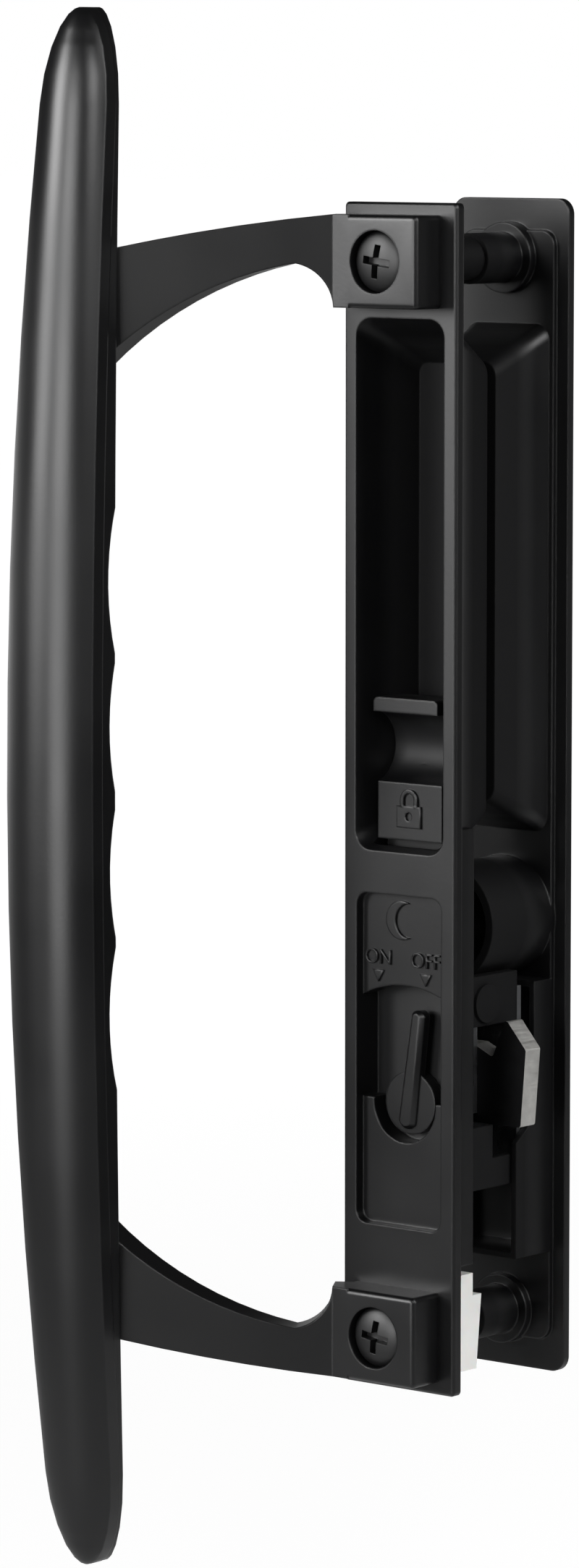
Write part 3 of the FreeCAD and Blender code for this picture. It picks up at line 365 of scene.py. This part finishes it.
def screw_tree(material):
    """A node tree that cuts a cross recess in a lathed screw, winds its thread and sets two in a row."""
    tree = bpy.data.node_groups.new("threaded_screws", "GeometryNodeTree")
    tree.interface.new_socket("Geometry", in_out="INPUT", socket_type="NodeSocketGeometry")
    for name in ("Pitch", "Depth", "Radius", "Length", "Start", "Top", "Bar Length", "Bar Width", "Bar Depth",
                 "Bar Turn", "Spacing"):
        tree.interface.new_socket(name, in_out="INPUT", socket_type="NodeSocketFloat")
    tree.interface.new_socket("Geometry", in_out="OUTPUT", socket_type="NodeSocketGeometry")
    size = add(tree, "NodeGroupInput").outputs

    across = add(tree, "ShaderNodeCombineXYZ", {
        "X": size["Bar Length"], "Y": size["Bar Depth"], "Z": size["Bar Width"]})
    upright = add(tree, "ShaderNodeCombineXYZ", {
        "X": size["Bar Width"], "Y": size["Bar Depth"], "Z": size["Bar Length"]})
    bars = [
        add(tree, "GeometryNodeMeshCube", {"Size": bar.outputs[0]}).outputs[0] for bar in (across, upright)]
    cross = add(tree, "GeometryNodeJoinGeometry", {"Geometry": bars})
    spot = add(tree, "ShaderNodeCombineXYZ", {"Y": size["Top"]})
    turn = add(tree, "ShaderNodeCombineXYZ", {"Y": size["Bar Turn"]})
    punch = add(tree, "GeometryNodeTransform", {
        "Geometry": cross.outputs[0], "Translation": spot.outputs[0], "Rotation": turn.outputs[0]})
    blank = add(tree, "GeometryNodeMeshBoolean", {
        "Mesh 1": size["Geometry"], "Mesh 2": punch.outputs[0], "Self Intersection": True},
        operation="DIFFERENCE", solver="EXACT")

    turns = add(tree, "ShaderNodeMath", {0: size["Length"], 1: size["Pitch"]}, operation="DIVIDE")
    helix = add(tree, "GeometryNodeCurveSpiral", {
        "Resolution": 20, "Rotations": turns.outputs[0], "Start Radius": size["Radius"],
        "End Radius": size["Radius"], "Height": size["Length"]})
    start = add(tree, "ShaderNodeCombineXYZ", {"Y": size["Start"]})
    laid = add(tree, "GeometryNodeTransform", {
        "Geometry": helix.outputs[0], "Translation": start.outputs[0], "Rotation": (-math.pi / 2, 0.0, 0.0)})
    ridge = add(tree, "GeometryNodeCurvePrimitiveCircle", {"Resolution": 6, "Radius": size["Depth"]})
    thread = add(tree, "GeometryNodeCurveToMesh", {
        "Curve": laid.outputs[0], "Profile Curve": ridge.outputs[0], "Fill Caps": True})

    screw = add(tree, "GeometryNodeJoinGeometry", {"Geometry": [blank.outputs[0], thread.outputs[0]]})
    pitch = add(tree, "ShaderNodeCombineXYZ", {"Z": size["Spacing"]})
    first = add(tree, "ShaderNodeVectorMath", {0: pitch.outputs[0], "Scale": -0.5}, operation="SCALE")
    row = add(tree, "GeometryNodeMeshLine", {
        "Count": 2, "Start Location": first.outputs[0], "Offset": pitch.outputs[0]})
    copies = add(tree, "GeometryNodeInstanceOnPoints", {
        "Points": row.outputs[0], "Instance": screw.outputs[0]})
    real = add(tree, "GeometryNodeRealizeInstances", {"Geometry": copies.outputs[0]})
    painted = add(tree, "GeometryNodeSetMaterial", {"Geometry": real.outputs[0], "Material": material})
    add(tree, "NodeGroupOutput", {0: painted.outputs[0]})
    return tree


def run_tree(item, tree, values):
    """Runs a node tree on an object with its inputs set by name, and leaves the plain mesh in its place."""
    modifier = item.modifiers.new(tree.name, "NODES")
    modifier.node_group = tree
    for socket in tree.interface.items_tree:
        if socket.in_out == "INPUT" and socket.name in values:
            modifier[socket.identifier] = values[socket.name]
    mesh = baked(item)
    item.modifiers.clear()
    blank, item.data = item.data, mesh
    bpy.data.meshes.remove(blank)


def letters(words, height, rise):
    """A raised word as a text curve, with its capitals of the given height."""
    curve = bpy.data.curves.new("letters", "FONT")
    curve.body = words
    curve.align_x = "CENTER"
    curve.align_y = "CENTER"
    capital_share = 0.7
    curve.size = height / capital_share
    return raised(curve, rise)


def figure(loops, rise):
    """A raised flat figure as a curve, with a hole where one loop lies in another."""
    curve = bpy.data.curves.new("figure", "CURVE")
    curve.dimensions = "2D"
    for loop in loops:
        spline = curve.splines.new("POLY")
        spline.points.add(len(loop) - 1)
        spline.points.foreach_set("co", [value for x, y in loop for value in (x, y, 0.0, 1.0)])
        spline.use_cyclic_u = True
    return raised(curve, rise)


def raised(curve, rise):
    """Gives a flat curve its height and a softened edge."""
    curve.fill_mode = "BOTH"
    soft = rise / 4
    curve.extrude = rise - soft
    curve.bevel_depth = soft
    curve.offset = -soft
    return curve


def arc(centre, radius, start, end, count):
    """Points on an arc between two angles in degrees."""
    angles = [math.radians(start + (end - start) * step / count) for step in range(count + 1)]
    return [(centre[0] + radius * math.cos(a), centre[1] + radius * math.sin(a)) for a in angles]


def sign_piece(name, signs, level, body, material):
    """Joins raised signs, given as (curve, x, z), into one piece that stands on a face looking along -Y."""
    work = bmesh.new()
    upright = Matrix.Rotation(math.pi / 2, 4, "X")
    for curve, x, z in signs:
        item = bpy.data.objects.new("sign", curve)
        bpy.context.scene.collection.objects.link(item)
        mesh = baked(item)
        mesh.transform(Matrix.Translation((x, level, z)) @ upright)
        work.from_mesh(mesh)
        bpy.data.objects.remove(item)
        bpy.data.meshes.remove(mesh)
    mesh = bpy.data.meshes.new(name)
    work.to_mesh(mesh)
    work.free()
    mesh.materials.clear()
    mesh.materials.append(material)
    piece = bpy.data.objects.new(name, mesh)
    bpy.context.scene.collection.objects.link(piece)
    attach(piece, body)


class HANDLE_OT_castings(bpy.types.Operator):
    """Coats the castings"""

    bl_idname = "handle.castings"
    bl_label = "Castings"

    def execute(self, context):
        sizes, colours = context.scene.handle_sizes, context.scene.handle_colours
        coat = powder_coat(
            "satin_black_powder_coat", colours.coat, grain=sizes.grit, edge=sizes.edge_round, roughness=0.33)
        dress(CASTINGS, coat)
        return {"FINISHED"}


class HANDLE_OT_steel(bpy.types.Operator):
    """Finishes the stamped, plated and sprung steel"""

    bl_idname = "handle.steel"
    bl_label = "Steel pieces"

    def execute(self, context):
        colours = context.scene.handle_colours
        dress(("hook",), blanked_steel("blanked_strip_steel", colours.sheared, colours.skin))
        dress(PLATED, rolled_steel(
            "zinc_plated_steel", colours.plated, spacing=0.2 * MM, roughness=0.32, dark=0.85))
        dress(SPRUNG, rolled_steel(
            "drawn_spring_steel", colours.spring, spacing=0.15 * MM, roughness=0.3, dark=0.85))
        return {"FINISHED"}


class HANDLE_OT_spring(bpy.types.Operator):
    """Lays the latch spring between its seat and the hook"""

    bl_idname = "handle.spring"
    bl_label = "Latch spring"

    def execute(self, context):
        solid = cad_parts["latch_spring"]
        coil = bpy.data.objects.new("latch_coil", solid.data.copy())
        context.scene.collection.objects.link(coil)
        coil.matrix_world = solid.matrix_world.copy()
        coil.data.materials.clear()
        coil.data.materials.append(bpy.data.materials["drawn_spring_steel"])
        run_tree(coil, smooth_faces(), {})
        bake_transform(coil)
        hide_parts("latch_spring")
        return {"FINISHED"}


class HANDLE_OT_screws(bpy.types.Operator):
    """Makes the two fixing screws with their cross recess and thread"""

    bl_idname = "handle.screws"
    bl_label = "Fixing screws"

    def execute(self, context):
        sizes = context.scene.handle_sizes
        low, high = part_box("upper_fixing_screw")
        low_other, high_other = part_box("lower_fixing_screw")
        wide = (high[0] - low[0]) / 2
        core = sizes.screw_width / 2 - sizes.thread_depth
        rim = low[1] + sizes.head_dome
        seat = low[1] + sizes.head_height
        crown = [(wide * math.sin(math.radians(turn)), rim - sizes.head_dome * math.cos(math.radians(turn)))
                 for turn in range(10, 90, 10)]
        profile = [(0.0, low[1]), *crown, (wide, rim), (wide, seat), (core, seat), (core, high[1] - core),
                   (core / 2, high[1]), (0.0, high[1])]
        screws = bpy.data.objects.new("fixing_screws", lathe(profile, count=48))
        context.scene.collection.objects.link(screws)
        lacquer = powder_coat(
            "black_lacquered_steel", context.scene.handle_colours.screw, grain=sizes.grit,
            edge=sizes.edge_round / 2, roughness=0.44)
        run_tree(screws, screw_tree(lacquer), {
            "Pitch": sizes.thread_pitch, "Depth": sizes.thread_depth / 2,
            "Radius": core + sizes.thread_depth / 2, "Length": high[1] - seat - 3 * sizes.thread_pitch,
            "Start": seat + sizes.thread_pitch, "Top": low[1],
            "Bar Length": sizes.recess_length, "Bar Width": sizes.recess_width,
            "Bar Depth": 2 * sizes.recess_depth, "Bar Turn": sizes.recess_turn,
            "Spacing": (high[2] + low[2] - high_other[2] - low_other[2]) / 2})
        run_tree(screws, smooth_faces(), {})
        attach(screws, "plates")
        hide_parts("upper_fixing_screw", "lower_fixing_screw")
        dress(("guide_stud",), lacquer)
        return {"FINISHED"}


class HANDLE_OT_signs(bpy.types.Operator):
    """Raises the signs at the night lock and on the thumb slide"""

    bl_idname = "handle.signs"
    bl_label = "Raised signs"

    def execute(self, context):
        sizes = context.scene.handle_sizes
        coat = bpy.data.materials["satin_black_powder_coat"]
        tall, rise = sizes.letter_height, sizes.sign_rise
        side, top, tip = 0.45 * tall, 0.35 * tall, -0.45 * tall
        pointer = figure([[(-side, top), (0.0, tip), (side, top)]], rise)
        disc, bite, bite_middle, moon_shift = 1.3 * tall, 1.13 * tall, (0.62 * tall, 0.0), -0.2 * tall
        moon = (
            arc((0.0, 0.0), disc, start=60, end=300, count=28)
            + arc(bite_middle, bite, start=265, end=95, count=24))
        sign_piece("night_lock_signs", [
            (letters("ON", tall, rise), sizes.left_sign, sizes.word_place),
            (letters("OFF", tall, rise), sizes.right_sign, sizes.word_place),
            (pointer, sizes.left_sign, sizes.pointer_place),
            (pointer.copy(), sizes.right_sign, sizes.pointer_place),
            (figure([moon], rise), moon_shift, sizes.moon_place),
        ], sizes.label_level, "plates", coat)
        case_low, case_high = -1.1 * tall, 0.35 * tall
        case = [(-tall, case_low), (tall, case_low), (tall, case_high), (-tall, case_high)]
        hole, hole_middle = 0.26 * tall, (0.0, -0.35 * tall)
        keyhole = arc(hole_middle, hole, start=0, end=348, count=20)
        bow, outer, inner, foot = (0.0, 0.75 * tall), 0.72 * tall, 0.42 * tall, 0.3 * tall
        shackle = (
            arc(bow, outer, start=0, end=180, count=20) + [(-outer, foot), (-inner, foot)]
            + arc(bow, inner, start=180, end=0, count=20) + [(inner, foot), (outer, foot)])
        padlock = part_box("thumb_slide")[0][2] + sizes.padlock_place
        sign_piece("thumb_slide_sign", [
            (figure([case, keyhole], rise), 0.0, padlock), (figure([shackle], rise), 0.0, padlock),
        ], sizes.flag_level, "latch", coat)
        return {"FINISHED"}


class HANDLE_OT_spacer(bpy.types.Operator):
    """Finishes the nylon spacer"""

    bl_idname = "handle.spacer"
    bl_label = "Spacer"

    def execute(self, context):
        dress(("lower_spacer",), moulded_nylon("moulded_white_nylon", context.scene.handle_colours.nylon))
        return {"FINISHED"}


class HANDLE_OT_stage(bpy.types.Operator):
    """Sets up the floor, the light and the camera"""

    bl_idname = "handle.stage"
    bl_label = "Stage"

    def execute(self, context):
        scene = context.scene
        stage = scene.handle_stage
        scene.view_settings.view_transform = "Standard"
        self.floor(scene, stage)
        self.world(scene)
        upper, middle = Vector((-0.02, -0.01, 0.08)), Vector((-0.02, -0.01, 0.0))
        self.softbox("key_softbox", upper, offset=(0.01, -0.63, 0.06), size=(0.30, 0.74),
                     power=stage.key, spread=48)
        self.softbox("side_softbox", upper, offset=(-0.36, -0.51, 0.17), size=(0.36, 0.52),
                     power=stage.side, spread=44)
        self.softbox("rim_softbox", middle, offset=(0.75, 0.10, 0.38), size=(0.35, 0.8),
                     power=stage.rim, spread=60)
        self.softbox("fill_softbox", middle, offset=(0.75, -0.62, 0.48), size=(0.4, 0.4),
                     power=stage.fill, spread=50)
        self.camera(scene, stage)
        return {"FINISHED"}

    def camera(self, scene, stage):
        """The camera at the photograph's place and angle."""
        lens = bpy.data.cameras.new("camera")
        lens.lens = stage.lens
        lens.sensor_width = 36.0
        lens.clip_start = 0.01
        camera = bpy.data.objects.new("camera", lens)
        level = math.cos(stage.pitch)
        back = Vector((
            math.sin(stage.azimuth) * level, -math.cos(stage.azimuth) * level, math.sin(stage.pitch)))
        camera.location = stage.camera_place
        camera.rotation_euler = (-back).to_track_quat("-Z", "Y").to_euler()
        scene.collection.objects.link(camera)
        scene.camera = camera

    def floor(self, scene, stage):
        """A wide pale floor that shows white to the camera and keeps the object's soft shadow."""
        low, reach = CAD_BOX[0][2] - stage.drop, 12.0
        near, far, near_glow, far_glow, glow_share = 0.2, 0.8, 1.08, 1.18, 0.85
        backdrop_start, backdrop_full = 0.6, 1.6
        mesh = bpy.data.meshes.new("floor")
        mesh.from_pydata(
            [(-reach, -reach, low), (reach, -reach, low), (reach, reach, low), (-reach, reach, low)], [],
            [(0, 1, 2, 3)])
        floor = bpy.data.objects.new("floor", mesh)
        scene.collection.objects.link(floor)
        material, tree = blank_material("painted_studio_floor")
        paint = add(tree, "ShaderNodeBsdfDiffuse", {"Color": (*scene.handle_colours.floor, 1.0)})
        place = add(tree, "ShaderNodeTexCoord").outputs["Object"]
        away = add(tree, "ShaderNodeVectorMath", {0: place}, operation="LENGTH")
        level = add(tree, "ShaderNodeMapRange", {
            "Value": away.outputs["Value"], "From Min": near, "From Max": far,
            "To Min": near_glow, "To Max": far_glow})
        glow = add(tree, "ShaderNodeEmission", {"Strength": level.outputs["Result"]})
        way = add(tree, "ShaderNodeVectorMath", {0: place, 1: BACKDROP_WAY}, operation="DOT_PRODUCT")
        behind = add(tree, "ShaderNodeMapRange", {
            "Value": way.outputs["Value"], "From Min": backdrop_start, "From Max": backdrop_full})
        share = add(tree, "ShaderNodeMath", {
            0: self.white_seen(tree, behind), 1: glow_share}, operation="MULTIPLY")
        mixed = add(tree, "ShaderNodeMixShader", {
            0: share.outputs[0], 1: paint.outputs[0], 2: glow.outputs[0]})
        close_material(tree, mixed)
        mesh.materials.append(material)

    def world(self, scene):
        """A white backdrop behind the object, and a dim studio in front of it."""
        backdrop_edge, backdrop_full, dim = 0.975, 0.995, 0.03
        world = bpy.data.worlds.new("studio")
        world.use_nodes = True
        tree = world.node_tree
        tree.nodes.clear()
        sky = add(tree, "ShaderNodeTexCoord").outputs["Generated"]
        way = add(tree, "ShaderNodeVectorMath", {0: sky, 1: BACKDROP_WAY}, operation="DOT_PRODUCT")
        behind = add(tree, "ShaderNodeMapRange", {
            "Value": way.outputs["Value"], "From Min": backdrop_edge, "From Max": backdrop_full})
        level = add(tree, "ShaderNodeMapRange", {
            "Value": self.white_seen(tree, behind), "To Min": dim, "To Max": 1.0})
        light = add(tree, "ShaderNodeBackground", {
            "Color": (1.0, 1.0, 1.0, 1.0), "Strength": level.outputs["Result"]})
        add(tree, "ShaderNodeOutputWorld", {"Surface": light.outputs[0]})
        scene.world = world

    def white_seen(self, tree, behind):
        """How much white a ray sees: the camera all of it, and a mirror what lies behind the object."""
        path = add(tree, "ShaderNodeLightPath").outputs
        mirror = add(tree, "ShaderNodeMath", {
            0: path["Is Glossy Ray"], 1: path["Is Transmission Ray"]}, operation="ADD")
        mirrored = add(tree, "ShaderNodeMath", {
            0: mirror.outputs[0], 1: behind.outputs["Result"]}, operation="MULTIPLY")
        seen = add(tree, "ShaderNodeMath", {
            0: path["Is Camera Ray"], 1: mirrored.outputs[0]}, operation="MAXIMUM")
        return seen.outputs[0]

    def softbox(self, name, middle, offset, size, power, spread):
        """A rectangular softbox that faces the object, with its beam kept to an angle in degrees."""
        lamp = bpy.data.lights.new(name, "AREA")
        lamp.shape = "RECTANGLE"
        lamp.size, lamp.size_y = size
        lamp.energy = power
        lamp.spread = math.radians(spread)
        box = bpy.data.objects.new(name, lamp)
        box.location = middle + Vector(offset)
        box.rotation_euler = (-Vector(offset)).to_track_quat("-Z", "Y").to_euler()
        box.visible_camera = False
        bpy.context.scene.collection.objects.link(box)


class HANDLE_PT_panel(bpy.types.Panel):
    """Lists the handle set's pieces"""

    bl_idname = "HANDLE_PT_panel"
    bl_label = "Patio door handle set"
    bl_space_type = "VIEW_3D"
    bl_region_type = "UI"
    bl_category = "Handle"

    def draw(self, context):
        for operator in OPERATORS:
            self.layout.operator(operator.bl_idname)


GROUPS = (HandleSizes, HandleColours, HandleStage)
OPERATORS = (
    HANDLE_OT_castings, HANDLE_OT_steel, HANDLE_OT_spring, HANDLE_OT_screws, HANDLE_OT_signs,
    HANDLE_OT_spacer, HANDLE_OT_stage)


def register():
    """Registers the classes and hangs their settings on the scene."""
    for item in (*GROUPS, *OPERATORS, HANDLE_PT_panel):
        bpy.utils.register_class(item)
    bpy.types.Scene.handle_sizes = bpy.props.PointerProperty(type=HandleSizes)
    bpy.types.Scene.handle_colours = bpy.props.PointerProperty(type=HandleColours)
    bpy.types.Scene.handle_stage = bpy.props.PointerProperty(type=HandleStage)


def unregister():
    """Takes the settings off the scene and unregisters the classes."""
    del bpy.types.Scene.handle_stage
    del bpy.types.Scene.handle_colours
    del bpy.types.Scene.handle_sizes
    for item in (HANDLE_PT_panel, *reversed(OPERATORS), *reversed(GROUPS)):
        bpy.utils.unregister_class(item)


def main():
    """Makes every piece and the stage."""
    register()
    bpy.ops.handle.castings()
    bpy.ops.handle.steel()
    bpy.ops.handle.spring()
    bpy.ops.handle.screws()
    bpy.ops.handle.signs()
    bpy.ops.handle.spacer()
    bpy.ops.handle.stage()


if __name__ == "__main__":
    main()
